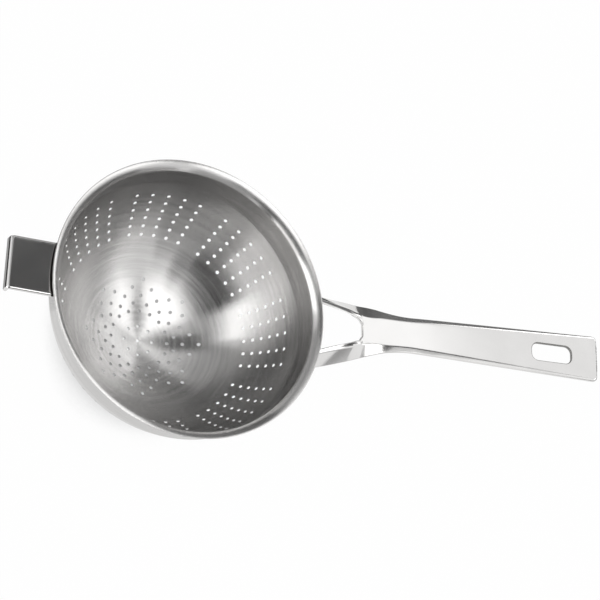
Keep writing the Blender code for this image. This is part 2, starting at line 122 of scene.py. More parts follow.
def brushedSteel():
    # stainless sheet, spun and brushed in circles: satin, with highlights fanning out from the middle
    # real lines are about 0.1 mm apart, drawn coarser so that they show
    look = {"colour": "#cccbca", "dark": "#c5c4c3", "light": "#d1d0cf", "roughness": 0.23, "uneven": 0.02,
            "brushing": 0.9, "lineSpacing": 0.0007, "depth": 0.0000032, "patch": 0.0035, "streaks": 1.6}
    material, tree, shader = steel("brushedStainless", look["colour"], look["roughness"])
    shader.inputs["Anisotropic"].default_value = look["brushing"]
    shader.inputs["Anisotropic Rotation"].default_value = 0.25   # highlights cross the brushing lines
    place = addNode(tree, "ShaderNodeTexCoord")
    centred = addNode(tree, "ShaderNodeMapping", {"Location": (-axisX, 0, 0)},
                      {"Vector": place.outputs["Object"]})
    around = addNode(tree, "ShaderNodeVectorMath", {"operation": "CROSS_PRODUCT", 0: (0, 0, 1)},
                     {1: centred.outputs[0]})
    along = addNode(tree, "ShaderNodeVectorMath", {"operation": "NORMALIZE"}, {0: around.outputs[0]})
    tree.links.new(along.outputs[0], shader.inputs["Tangent"])
    radius = addNode(tree, "ShaderNodeVectorMath", {"operation": "LENGTH"}, {0: around.outputs[0]})
    part = addNode(tree, "ShaderNodeSeparateXYZ", {}, {0: centred.outputs[0]})
    outward = addNode(tree, "ShaderNodeMath", {"operation": "ADD"},
                      {0: radius.outputs["Value"], 1: part.outputs["Z"]})
    turn = addNode(tree, "ShaderNodeSeparateXYZ", {}, {0: along.outputs[0]})

    def rings(spacing, detail, streaks):   # noise drawn out into rings about the axis
        stretch = {"operation": "MULTIPLY", 1: streaks}
        sideX = addNode(tree, "ShaderNodeMath", stretch, {0: turn.outputs["X"]})
        sideY = addNode(tree, "ShaderNodeMath", stretch, {0: turn.outputs["Y"]})
        across = addNode(tree, "ShaderNodeMath", {"operation": "DIVIDE", 1: spacing},
                         {0: outward.outputs[0]})
        where = addNode(tree, "ShaderNodeCombineXYZ", {},
                        {"X": sideX.outputs[0], "Y": sideY.outputs[0], "Z": across.outputs[0]})
        return addNode(tree, "ShaderNodeTexNoise", {"Scale": 1.0, "Detail": detail, "Roughness": 0.6},
                       {"Vector": where.outputs[0]}).outputs[0]

    fine = rings(look["lineSpacing"], 3.0, look["streaks"])
    broad = rings(look["patch"], 2.0, look["streaks"] * 0.5)
    dressSteel(tree, shader, look, broad, fine)
    return material


def polishedSteel():
    # the same stainless, ground lengthwise and buffed: near mirror, with faint hairlines left from the belt
    look = {"colour": "#dedddc", "dark": "#dcdbda", "light": "#e0dfde", "roughness": 0.13, "uneven": 0.01,
            "hairLength": 0.045, "hairWidth": 0.0006, "depth": 0.0000012, "cloud": 0.02}
    material, tree, shader = steel("polishedStainless", look["colour"], look["roughness"])
    place = addNode(tree, "ShaderNodeTexCoord")
    density = (1 / look["hairLength"], 1 / look["hairWidth"], 1 / look["hairWidth"])
    stretched = addNode(tree, "ShaderNodeMapping", {"Scale": density}, {0: place.outputs["Object"]})
    hairs = addNode(tree, "ShaderNodeTexNoise", {"Scale": 1.0, "Detail": 2.0},
                    {"Vector": stretched.outputs[0]})
    clouds = addNode(tree, "ShaderNodeTexNoise", {"Scale": 1 / look["cloud"], "Detail": 2.0},
                     {"Vector": place.outputs["Object"]})
    dressSteel(tree, shader, look, clouds.outputs[0], hairs.outputs[0])
    return material


def paintedShadeSteel():   # painted shade: nearly black, dull steel standing for the shade under the lip on the hook's root
    look = {"colour": "#2b2827", "roughness": 0.5}
    return steel("paintedShadeStainless", look["colour"], look["roughness"])[0]


def shearedSteelPaintedReflection():
    # the wall of the punched slot: torn by the punch and left unpolished, so dull; its darker colour is a
    # painted dark reflection
    look = {"colour": "#8f8e8c", "dark": "#7d7c7a", "light": "#9a9997", "roughness": 0.45,
            "tear": 0.0008, "upright": 0.15, "depth": 0.00003}
    material, tree, shader = steel("shearedStainlessPaintedReflection", look["colour"], look["roughness"])
    place = addNode(tree, "ShaderNodeTexCoord")
    density = (1 / look["tear"], 1 / look["tear"], look["upright"] / look["tear"])
    upright = addNode(tree, "ShaderNodeMapping", {"Scale": density}, {0: place.outputs["Object"]})
    tears = addNode(tree, "ShaderNodeTexNoise", {"Scale": 1.0, "Detail": 3.0},
                    {"Vector": upright.outputs[0]})
    dressSteel(tree, shader, look, tears.outputs[0], tears.outputs[0])
    return material


def weldSteel():
    # weld bead, wire-brushed: dull silver with a straw-brown heat tint in patches and a grainy skin
    look = {"colour": "#b3afa9", "dark": "#97897a", "light": "#bdbab6", "roughness": 0.38,
            "tintPatch": 0.006, "grain": 0.0005, "depth": 0.00003}
    material, tree, shader = steel("weldedStainless", look["colour"], look["roughness"])
    place = addNode(tree, "ShaderNodeTexCoord")
    heat = addNode(tree, "ShaderNodeTexNoise", {"Scale": 1 / look["tintPatch"], "Detail": 2.0},
                   {"Vector": place.outputs["Object"]})
    grain = addNode(tree, "ShaderNodeTexNoise", {"Scale": 1 / look["grain"], "Detail": 3.0},
                    {"Vector": place.outputs["Object"]})
    dressSteel(tree, shader, look, heat.outputs[0], grain.outputs[0])
    return material


# Bowl
bowl = {
    "radius": 0.1023, "sheet": 0.0008, "columns": 192, "innerColumns": 48,
    "bandFoot": 0.0711, "bandTop": 0.0910, "bandDraft": 3.6, "footRadius": 0.0030,
    "lipTurnRadius": 0.0026, "lipSlope": (60, 15.5), "lipWidth": 0.0075,
    "lipRollRadius": 0.0012, "lipRollEnd": -30, "lipEdge": 0.00035,
    # radius of a hole and of the ring of small faces round it
    "hole": 0.00135, "collar": 0.0019,
    # side holes, in groups: degrees between columns, and distances along the inner wall
    "groups": 8, "groupColumns": 5, "groupRows": 6, "columnTurn": 7.86,
    "topRowDrop": 0.0138, "rowPitch": 0.00693,
    # the groups' plain strips close between these angles from straight down, in degrees
    "stripFade": (29, 41),
    # holes of the bottom: ring in pitches, count, share of a step that the ring is turned by
    "pitch": 0.00554, "cuts": 4,
    "rings": ((2, 8, 0), (4, 16, 0), (5, 16, 0.5), (6, 16, 0), (7, 16, 0.5), (8, 8, 0)),
    "firstInset": 0.0002, "mergeDistance": 0.00001,
}
bowl["centre"] = bowl["radius"] + bowl["sheet"]
bowl["footTurn"] = math.acos((bowl["centre"] - bowl["bandFoot"]) / bowl["radius"])


def rowTurn(row):   # angle from straight down to a row of side holes
    return bowl["footTurn"] - (bowl["topRowDrop"] + row * bowl["rowPitch"]) / bowl["radius"]


def onRound(turn):
    return Vector((bowl["radius"] * math.sin(turn), 0, bowl["centre"] - bowl["radius"] * math.cos(turn)))


def roundTurns():
    cuts, pitch = bowl["cuts"], bowl["pitch"]
    inner = [math.asin(bowl["hole"] / bowl["radius"]), math.asin(bowl["collar"] / bowl["radius"])]
    inner += [math.asin(k * pitch / cuts / bowl["radius"]) for k in range(2, 3 * cuts + 1)]
    outer = [math.asin(k * pitch / cuts / bowl["radius"]) for k in range(3 * cuts + 2, 9 * cuts - 1)]
    low, high = rowTurn(bowl["groupRows"] - 0.5), rowTurn(-0.5)
    plain = 8
    outer += [outer[-1] + (low - outer[-1]) * k / plain for k in range(1, plain)]
    steps = bowl["groupRows"] * cuts
    outer += [low + (high - low) * k / steps for k in range(steps + 1)]
    return inner, outer


def wallProfile():   # from the last row of holes up over the soft corner, the band and the flared lip
    points = []
    slope = bowl["footTurn"]
    top = math.radians(90 - bowl["bandDraft"])
    reach = bowl["footRadius"] * math.tan((top - slope) / 2)
    first = slope - reach / bowl["radius"]
    start = rowTurn(-0.5)
    points += [onRound(start + (first - start) * k / 4) for k in range(1, 5)]
    place = points[-1].copy()

    def advance(length, fromSlope, toSlope, steps):
        for k in range(steps):
            middle = fromSlope + (toSlope - fromSlope) * (k + 0.5) / steps
            place.x += length / steps * math.cos(middle)
            place.z += length / steps * math.sin(middle)
            points.append(place.copy())

    advance(bowl["footRadius"] * (top - first), first, top, 5)
    advance((bowl["bandTop"] - place.z) / math.sin(top), top, top, 6)
    slopes = [math.radians(s) for s in bowl["lipSlope"]]
    advance(bowl["lipTurnRadius"] * (top - slopes[0]), top, slopes[0], 8)
    advance(bowl["lipWidth"], slopes[0], slopes[1], 10)
    end = math.radians(bowl["lipRollEnd"])
    advance(bowl["lipRollRadius"] * (slopes[1] - end), slopes[1], end, 4)
    return points


def spinProfile(bm, points, steps):
    verts = [bm.verts.new(p) for p in points]
    edges = [bm.edges.new(pair) for pair in zip(verts, verts[1:])]
    bmesh.ops.spin(bm, geom=verts + edges, cent=(0, 0, 0), axis=(0, 0, 1), angle=2 * math.pi, steps=steps,
                   use_merge=True)


def holePlaces():   # angle from straight down, angle round the axis, columns of faces, upright or not
    places = []
    cell = 2 * math.pi * bowl["cuts"] / bowl["columns"]
    for group in range(bowl["groups"]):
        for column in range(bowl["groupColumns"]):
            around = 2 * math.pi * group / bowl["groups"] + (column - (bowl["groupColumns"] - 1) / 2) * cell
            places += [(rowTurn(row), around, bowl["cuts"], False) for row in range(bowl["groupRows"])]
    for ring, count, half in bowl["rings"]:
        columns = bowl["columns"] if ring > 3 else bowl["innerColumns"]
        wide = 2 * round(columns / (4 * math.pi * ring))
        turn = math.asin(ring * bowl["pitch"] / bowl["radius"])
        places += [(turn, 2 * math.pi * (k + half) / count, wide, True) for k in range(count)]
    return places


def regroup(around, turn):   # draws the even columns into groups of five with plain strips between them
    group = 2 * math.pi / bowl["groups"]
    inside = (around + group / 2) % group - group / 2
    evenHalf = bowl["groupColumns"] * bowl["cuts"] / 2 * 2 * math.pi / bowl["columns"]
    realHalf = math.radians(bowl["columnTurn"]) * bowl["groupColumns"] / 2
    if abs(inside) <= evenHalf:
        target = inside * realHalf / evenHalf
    else:
        share = (abs(inside) - evenHalf) / (group / 2 - evenHalf)
        target = math.copysign(realHalf + share * (group / 2 - realHalf), inside)
    fadeFrom, fadeTo = bowl["stripFade"]
    fade = min(1, max(0, (math.degrees(turn) - fadeFrom) / (fadeTo - fadeFrom)))
    return around + (target - inside) * fade * fade * (3 - 2 * fade)


def turnOf(point):
    return math.atan2(math.hypot(point.x, point.y), bowl["centre"] - point.z)


def roundOff(face, middle, axis, radius):   # moves a face's corners onto a circle on the round of the bowl
    sideways = Vector((-middle.y, middle.x, 0)).normalized()
    across = axis.cross(sideways)
    count = len(face.verts)
    turns = [math.atan2((v.co - middle).dot(across), (v.co - middle).dot(sideways)) for v in face.verts]
    steps = [(b - a + math.pi) % (2 * math.pi) - math.pi for a, b in zip(turns, turns[1:])]
    way = math.copysign(2 * math.pi / count, sum(steps))
    drift = [(t - turns[0] - way * k + math.pi) % (2 * math.pi) - math.pi for k, t in enumerate(turns)]
    start = turns[0] + sum(drift) / count
    centre = Vector((0, 0, bowl["centre"]))
    for k, vert in enumerate(face.verts):
        turn = start + way * k
        point = middle + (sideways * math.cos(turn) + across * math.sin(turn)) * radius
        offset = point - centre
        reach = offset.dot(axis)
        out = math.sqrt(reach ** 2 - offset.length_squared + bowl["radius"] ** 2) - reach
        vert.co = point + axis * out


def punchHoles(bm):
    split = (bowl["rings"][0][0] + 1) * bowl["pitch"]
    byColumn = {}
    for face in bm.faces:
        middle = face.calc_center_median()
        count = bowl["columns"] if math.hypot(middle.x, middle.y) > split else bowl["innerColumns"]
        column = int(math.atan2(middle.y, middle.x) / (2 * math.pi) % 1 * count)
        byColumn.setdefault((count, column), []).append((turnOf(middle), face))
    places = []
    for turn, around, wide, upright in holePlaces():
        radius = bowl["radius"] * math.sin(turn)
        count = bowl["columns"] if radius > split else bowl["innerColumns"]
        if upright:
            low, high = [math.asin((radius + side * bowl["pitch"] / 2) / bowl["radius"])
                         for side in (-1, 1)]
        else:
            low, high = [turn + side * bowl["rowPitch"] / 2 / bowl["radius"] for side in (-1, 1)]
        first = round(around / (2 * math.pi) * count) - wide // 2
        block = [face for k in range(wide) for t, face in byColumn[(count, (first + k) % count)]
                 if low < t < high]
        places.append((turn, around, upright, block))
    for vert in bm.verts:
        turn = turnOf(vert.co)
        around = regroup(math.atan2(vert.co.y, vert.co.x), turn)
        vert.co = polar(math.hypot(vert.co.x, vert.co.y), around, vert.co.z)
    holes = []
    for turn, around, upright, block in places:
        face = bmesh.ops.dissolve_faces(bm, faces=block)["region"][0]
        middle = Matrix.Rotation(regroup(around, turn), 3, 'Z') @ onRound(turn)
        axis = Vector((0, 0, -1)) if upright else (middle - Vector((0, 0, bowl["centre"]))).normalized()
        holes.append((face, middle, axis))
    for radius in (bowl["collar"], bowl["hole"]):
        bmesh.ops.inset_individual(bm, faces=[hole[0] for hole in holes], thickness=bowl["firstInset"])
        for face, middle, axis in holes:
            roundOff(face, middle, axis, radius)
    bmesh.ops.delete(bm, geom=[hole[0] for hole in holes], context='FACES')


def makeBowl(material):
    bm = bmesh.new()
    inner, outer = roundTurns()
    spinProfile(bm, [onRound(turn) for turn in inner], bowl["innerColumns"])
    spinProfile(bm, [onRound(turn) for turn in outer] + wallProfile(), bowl["columns"])
    low, high = onRound(inner[-1]).z, onRound(outer[0]).z
    between = [edge for edge in bm.edges if edge.is_boundary
               and all(min(abs(v.co.z - low), abs(v.co.z - high)) < 1e-6 for v in edge.verts)]
    bmesh.ops.bridge_loops(bm, edges=between)
    punchHoles(bm)
    bmesh.ops.remove_doubles(bm, verts=bm.verts, dist=bowl["mergeDistance"])
    bmesh.ops.recalc_face_normals(bm, faces=bm.faces)
    lowest = min(bm.faces, key=lambda face: face.calc_center_median().z)
    if lowest.normal.z < 0:   # the sheet is added outside this inner surface
        bmesh.ops.reverse_faces(bm, faces=bm.faces)
    bmesh.ops.solidify(bm, geom=bm.faces[:], thickness=bowl["sheet"])
    widest = max(math.hypot(v.co.x, v.co.y) for v in bm.verts)
    rim = [edge for edge in bm.edges if edge.calc_face_angle() > math.radians(60)
           and all(math.hypot(v.co.x, v.co.y) > widest - bowl["sheet"] for v in edge.verts)]
    roundEdges(bm, rim, bowl["lipEdge"], 3)
    print("bowl shell:", len(bm.faces), "faces, height", max(v.co.z for v in bm.verts))
    return finishPiece(bm, "bowl_shell", material, "bowl_steel", "bowl")


# Shapes shared by the forked handle, the hook and the welds
def growRing(bm, ring, section):   # draws the next ring out of an open one and sets it on the section
    edges = [bm.edges.get(pair) for pair in zip(ring, ring[1:] + ring[:1])]
    grown = bmesh.ops.extrude_edge_only(bm, edges=edges)["geom"]
    fresh = {v for v in grown if isinstance(v, bmesh.types.BMVert)}
    ring = [next(e.other_vert(v) for e in v.link_edges if e.other_vert(v) in fresh) for v in ring]
    for vert, point in zip(ring, section):
        vert.co = point
    return ring


def loftSections(bm, sections):   # sections of equal point counts, the ends capped; returns the rings
    ring = [bm.verts.new(point) for point in sections[0]]
    for pair in zip(ring, ring[1:] + ring[:1]):
        bm.edges.new(pair)
    bm.faces.new(ring)
    rings = [ring]
    for section in sections[1:]:
        ring = growRing(bm, ring, section)
        rings.append(ring)
    bm.faces.new(ring)
    return rings


def roundEdges(bm, edges, width, segments):
    bmesh.ops.bevel(bm, geom=edges, offset=width, offset_type='OFFSET', segments=segments, profile=0.5,
                    affect='EDGES', clamp_overlap=False, material=-1)


def steadyNormals(piece):   # keeps flat faces flat beside their rounded edges
    steady = piece.modifiers.new("steadyNormals", 'WEIGHTED_NORMAL')
    steady.keep_sharp = True


def smoothShare(value):
    value = min(1, max(0, value))
    return value * value * (3 - 2 * value)


# Handle
handle = {
    "wall": 0.099285, "lipTop": 0.096576, "tip": 0.328285, "plate": 0.0030, "gap": 0.0003,
    "fork": 0.141285, "wing": 0.155285, "neck": 0.179285, "bend": 0.200285,
    "tipAboveLip": 0.0040, "rise": 3.4, "bendRadius": 0.645,
    "neckHalf": 0.0138, "tipHalf": 0.0180, "tipCorner": 0.0035, "flareRadius": 0.103, "wingSpread": 0.28,
    "flatNeckHalf": 0.0099, "flatTipHalf": 0.0165, "creaseAtFork": 0.0014, "creaseRun": 0.010,
    "shoulderDrop": 0.0010,
    "dropStart": 0.0190, "dropAtFork": 0.0048, "dropPower": 2.3,
    "forkGap": 0.0152, "forkFillet": 0.0030, "forkStep": 0.0006, "forkZone": 0.0035,
    "softEdge": 0.0008, "sharpEdge": 38,
    "slot": (0.0320, 0.0136), "slotCorner": 0.0052, "slotFromTip": 0.0367, "slotEdge": 0.0006,
    "topFace": 0.0039, "topTilt": 0.0006,
    # the tilt and the section's middle point settle within one part in so many of the arm
    "tiltOnset": 12, "settleOnset": 4,
    # shares of the arm where its first sections stand, close together beside the fork
    "firstSections": (0.006, 0.014, 0.024, 0.036, 0.05, 0.07), "armSteps": 30, "footSteps": 12,
    "ridge": {"spread": 0.39, "fall": 0.02, "hold": 0.42, "lead": 0.0081},
    "edge": {"spread": 0.30, "fall": 0.45, "hold": 0.70, "lead": 0.0112},
    "footSpread": 0.0288, "footLean": 0.0100, "footLength": 0.0165, "footHeight": 0.0130,
    "footBelowLip": 0.0177,
}


def wallRadius(height):   # outside of the bowl
    outer = bowl["centre"]
    foot = math.sqrt(outer ** 2 - (outer - bowl["bandFoot"]) ** 2)
    if height < bowl["bandFoot"]:
        return math.sqrt(outer ** 2 - (outer - height) ** 2)
    return foot + (height - bowl["bandFoot"]) * math.tan(math.radians(bowl["bandDraft"]))


def gripTop(x):
    rise = math.tan(math.radians(handle["rise"]))
    straight = handle["lipTop"] + handle["tipAboveLip"] - (handle["tip"] - x) * rise
    return straight - max(0, handle["bend"] - x) ** 2 / (2 * handle["bendRadius"])


def gripOuter(x):
    neck, wing = handle["neck"], handle["wing"]
    if x >= neck:
        widening = (handle["tipHalf"] - handle["neckHalf"]) * (x - neck) / (handle["tip"] - neck)
        half = handle["neckHalf"] + widening
        into = max(0, x - handle["tip"] + handle["tipCorner"])
        return half - handle["tipCorner"] + math.sqrt(max(0, handle["tipCorner"] ** 2 - into ** 2))
    return handle["neckHalf"] + (neck - max(x, wing)) ** 2 / (2 * handle["flareRadius"]) \
        + max(0, wing - x) * handle["wingSpread"]


def gripCrease(x):
    half = handle["flatNeckHalf"] + (handle["flatTipHalf"] - handle["flatNeckHalf"]) \
        * max(0, x - handle["neck"]) / (handle["tip"] - handle["neck"])
    half = min(half, gripOuter(x) - handle["shoulderDrop"])
    return half + handle["creaseAtFork"] * max(0, 1 - (x - handle["fork"]) / handle["creaseRun"]) ** 2


def gripDrop(x):   # how far the outer edge lies under the flat top
    share = max(0, handle["fork"] + handle["dropStart"] - x) / handle["dropStart"]
    return handle["shoulderDrop"] + handle["dropAtFork"] * share ** handle["dropPower"]


def sectionOf(innerTop, crease, outer, innerLow, innerMid):
    flat = innerTop.lerp(crease, 0.5)
    under = innerLow.lerp(innerMid, 0.5)
    return [innerTop, flat, crease, outer, innerLow, under, innerMid]


def gripSection(x):
    top, crease, outer, drop = gripTop(x), gripCrease(x), gripOuter(x), gripDrop(x)
    turned = smoothShare((handle["wing"] - x) / (handle["wing"] - handle["fork"]))
    slope = math.atan2(drop, outer - crease) * turned
    side = handle["plate"] - handle["shoulderDrop"] * (1 - turned)
    inner = handle["forkGap"] / 2 - handle["forkFillet"]
    return sectionOf(Vector((x, inner, top)), Vector((x, crease, top)), Vector((x, outer, top - drop)),
                     Vector((x, outer - side * math.sin(slope), top - drop - side * math.cos(slope))),
                     Vector((x, inner, top - handle["plate"])))


def footPoint(height, sideways):
    radius = wallRadius(height) + handle["gap"] + handle["plate"]
    turn = math.asin(sideways / radius)
    return polar(radius, turn, height), turn


def curvePoint(points, t):
    a, b, c, d = points
    return a * (1 - t) ** 3 + b * 3 * t * (1 - t) ** 2 + c * 3 * t * t * (1 - t) + d * t ** 3


def armCurve(start, rail, end, turn):
    away = Vector((-1, rail["spread"], -rail["fall"])) * (start.x - end.x) * rail["hold"]
    along = Vector((math.sin(turn), -math.cos(turn), 0)) * rail["lead"]
    return start, start + away, end + along, end


def armSections(start):
    footTop = handle["lipTop"] - handle["footBelowLip"]
    end, turn = footPoint(footTop, handle["footSpread"])
    ridgeCurve = armCurve(start[2], handle["ridge"], end, turn)
    end, turn = footPoint(footTop - handle["footHeight"], handle["footSpread"] + handle["footLean"])
    edgeCurve = armCurve(start[3], handle["edge"], end, turn)
    sections = []
    steps = handle["armSteps"]
    for t in [*handle["firstSections"], *(k / steps for k in range(3, steps))]:
        ridge, edge = curvePoint(ridgeCurve, t), curvePoint(edgeCurve, t)
        ahead = curvePoint(ridgeCurve, t + 0.01) - curvePoint(ridgeCurve, t - 0.01)
        outward = Vector((-ahead.y, ahead.x, 0)).normalized()
        outward *= math.copysign(1, outward.y)
        face = edge - ridge
        slope = math.atan2(-face.z, face.dot(outward))
        wide = handle["topFace"] + (handle["plate"] - handle["topFace"]) * t
        tilt = handle["topTilt"] * smoothShare(t * handle["tiltOnset"]) * (1 - t)
        innerTop = ridge - outward * wide + Vector((0, 0, tilt))
        inset = outward * handle["plate"] * math.sin(slope)
        innerLow = edge - inset - Vector((0, 0, handle["plate"] * math.cos(slope)))
        fromFork = handle["fork"] - innerTop.x
        into = max(0, handle["forkFillet"] - fromFork)
        fillet = handle["forkFillet"] - math.sqrt(max(0, handle["forkFillet"] ** 2 - into ** 2))
        innerTop.y -= fillet
        settled = smoothShare(t * handle["settleOnset"])
        innerMid = (innerTop - Vector((0, 0, handle["plate"]))).lerp(innerTop.lerp(innerLow, 0.5), settled)
        sections.append(sectionOf(innerTop, ridge, edge, innerLow, innerMid))
    return sections


def footSections():
    top = handle["lipTop"] - handle["footBelowLip"]
    low = top - handle["footHeight"]
    kink = bowl["bandFoot"]
    plate, gap = handle["plate"], handle["gap"]
    firstTop = footPoint(top, handle["footSpread"])[1]
    firstLow = footPoint(low, handle["footSpread"] + handle["footLean"])[1]
    lastTurn = firstTop + handle["footLength"] / wallRadius(top)
    sections = []
    steps = handle["footSteps"]
    for k in range(steps + 1):
        turnTop = firstTop + (lastTurn - firstTop) * k / steps
        turnLow = firstLow + (lastTurn - firstLow) * k / steps
        turnKink = turnLow + (turnTop - turnLow) * (kink - low) / (top - low)
        sections.append(sectionOf(polar(wallRadius(top) + gap, turnTop, top),
                                  polar(wallRadius(top) + gap + plate, turnTop, top),
                                  polar(wallRadius(low) + gap + plate, turnLow, low),
                                  polar(wallRadius(low) + gap, turnLow, low),
                                  polar(wallRadius(kink) + gap, turnKink, kink)))
    return sections


def mirrorSection(section):
    return [Vector((p.x, -p.y, p.z)) for p in section]


def gripStations():
    fork, neck, tip, corner = handle["fork"], handle["neck"], handle["tip"], handle["tipCorner"]
    start = fork + handle["forkZone"]
    atFork = [fork + handle["forkStep"] * k for k in range(4)]
    turning = [start + (neck - start) * k / 22 for k in range(23)]
    straight = [neck + (tip - corner - neck) * k / 24 for k in range(1, 25)]
    tipRound = [tip - corner + corner * math.sin(math.radians(a)) for a in range(10, 91, 10)]
    return atFork + turning + straight + tipRound


def makeSlotCutter(material):   # round-cornered, with its rim flared to a rounded edge on both faces
    length, width = handle["slot"]
    reach = handle["tip"] - handle["slotFromTip"]
    rise = math.radians(handle["rise"])
    soft, half = handle["slotEdge"], handle["plate"] / 2

    def outline(grow, height):
        points = []
        corner = handle["slotCorner"]
        for alongSide, acrossSide in ((1, -1), (1, 1), (-1, 1), (-1, -1)):
            quarter = math.atan2(acrossSide, alongSide) - math.pi / 4
            for k in range(10):
                turn = quarter + math.pi / 2 * k / 9
                x = alongSide * (length / 2 - corner) + (corner + grow) * math.cos(turn)
                y = acrossSide * (width / 2 - corner) + (corner + grow) * math.sin(turn)
                points.append(Vector((x, y, height)))
        return points

    levels = [(soft * (1 - math.cos(math.radians(a))), half - soft + soft * math.sin(math.radians(a)))
              for a in (0, 22, 45, 67, 84)]
    levels += [(soft * 1.4, half + soft * 0.4)]
    levels = [(grow, -height) for grow, height in reversed(levels)] + levels
    bm = bmesh.new()
    loftSections(bm, [outline(grow, height) for grow, height in levels])
    bmesh.ops.recalc_face_normals(bm, faces=bm.faces)
    middle = Vector((reach, 0, gripTop(reach) - half / math.cos(rise)))
    bm.transform(Matrix.Translation(middle + Vector((axisX, 0, 0))) @ Matrix.Rotation(-rise, 4, 'Y'))
    cutter = placeMesh(bm, "slotCutter", material)
    cutter.data.shade_smooth()
    return cutter


def cutOut(piece, cutter):   # applies the cut and removes the cutter
    cut = piece.modifiers.new("cut", 'BOOLEAN')
    cut.operation = 'DIFFERENCE'
    cut.solver = 'EXACT'
    cut.material_mode = 'TRANSFER'
    cut.object = cutter
    bpy.context.view_layer.update()
    graph = bpy.context.evaluated_depsgraph_get()
    done = bpy.data.meshes.new_from_object(piece.evaluated_get(graph))
    piece.modifiers.remove(cut)
    piece.data = done
    bpy.data.objects.remove(cutter)


def makeHandle(material):
    bm = bmesh.new()
    halves = [gripSection(x) for x in gripStations()]
    wholes = [half + mirrorSection(half)[::-1] for half in halves]
    rings = loftSections(bm, wholes)
    count = len(halves[0])
    creases = [2, 2 * count - 3]
    rails = [bm.edges.get((low[j], high[j])) for low, high in zip(rings, rings[1:]) for j in creases]
    bmesh.ops.delete(bm, geom=[face for face in rings[0][0].link_faces
                               if all(v in rings[0] for v in face.verts)], context='FACES_ONLY')
    first = rings[0]
    bm.faces.new((first[0], first[count - 1], first[count], first[-1]))
    arm = armSections(halves[0]) + footSections()
    otherArm = [mirrorSection(part) for part in arm]
    for side, sections in ((first[:count], arm), (first[count:][::-1], otherArm)):
        if bm.edges.get((side[0], side[-1])) is None:
            bm.edges.new((side[0], side[-1]))
        ring = side
        for section in sections:
            ring = growRing(bm, ring, section)
        bm.faces.new(ring)
    bmesh.ops.recalc_face_normals(bm, faces=bm.faces)
    limit = math.radians(handle["sharpEdge"])
    sharp = [edge for edge in bm.edges if edge.is_manifold and edge.calc_face_angle() > limit]
    roundEdges(bm, list(set(sharp + rails)), handle["softEdge"], 3)
    piece = finishPiece(bm, "handle_forged", material, "handle_steel", "handle", sharp=60)
    # the slot's walls are dull sheared steel, coloured darker as a painted dark reflection
    cutOut(piece, makeSlotCutter(shearedSteelPaintedReflection()))
    steadyNormals(piece)
    print("handle:", len(piece.data.polygons), "faces")
    return piece


# Hook
hook = {
    "offLine": 4.4, "width": 0.0412, "plate": 0.0034, "reach": 0.1357, "belowLip": 0.0043, "droop": 7,
    "toe": 0.0076, "toeBend": 0.0004, "sideEdge": 0.00155, "endEdge": 0.0006,
    # radii where the top of the root starts and where the painted shade under the lip ends
    "underLip": 0.0999, "weldRoom": 0.0011, "paintedShadeEnd": 0.1053,
    # tolerances for finding the faces with painted shade and the toe's lowest edges
    "paintedShadeSlack": 0.00001, "endSlack": 0.0001,
}


def hookTop(x):
    fall = math.tan(math.radians(hook["droop"]))
    return handle["lipTop"] - hook["belowLip"] - (x - handle["wall"]) * fall


def hookSag(y):   # how far the round wall falls back beside the hook's middle line
    return handle["wall"] - math.sqrt(handle["wall"] ** 2 - y * y)


def hookSections():   # pairs of top and bottom lines across the strip, from the wall to the toe's end
    droop = math.radians(hook["droop"])
    down = Vector((-math.sin(droop), 0, -math.cos(droop))) * hook["plate"]
    outside = hook["toeBend"] + hook["plate"]
    bendTop = hookTop(hook["reach"] - outside)
    centre = Vector((hook["reach"] - outside, 0, bendTop - outside / math.cos(droop)))
    toeEnd = bendTop - hook["toe"]
    pairs = []
    for share in (0.3, 0.5, 0.7, 0.9):
        x = hook["underLip"] + (centre.x - hook["underLip"]) * share
        top = Vector((x, 0, hookTop(x)))
        pairs.append((top, top + down))
    for k in range(9):
        turn = math.radians(90 - hook["droop"]) * (1 - k / 8)
        spoke = Vector((math.cos(turn), 0, math.sin(turn)))
        pairs.append((centre + spoke * outside, centre + spoke * hook["toeBend"]))
    pairs.append((Vector((hook["reach"], 0, toeEnd)), Vector((hook["reach"] - hook["plate"], 0, toeEnd))))
    return pairs


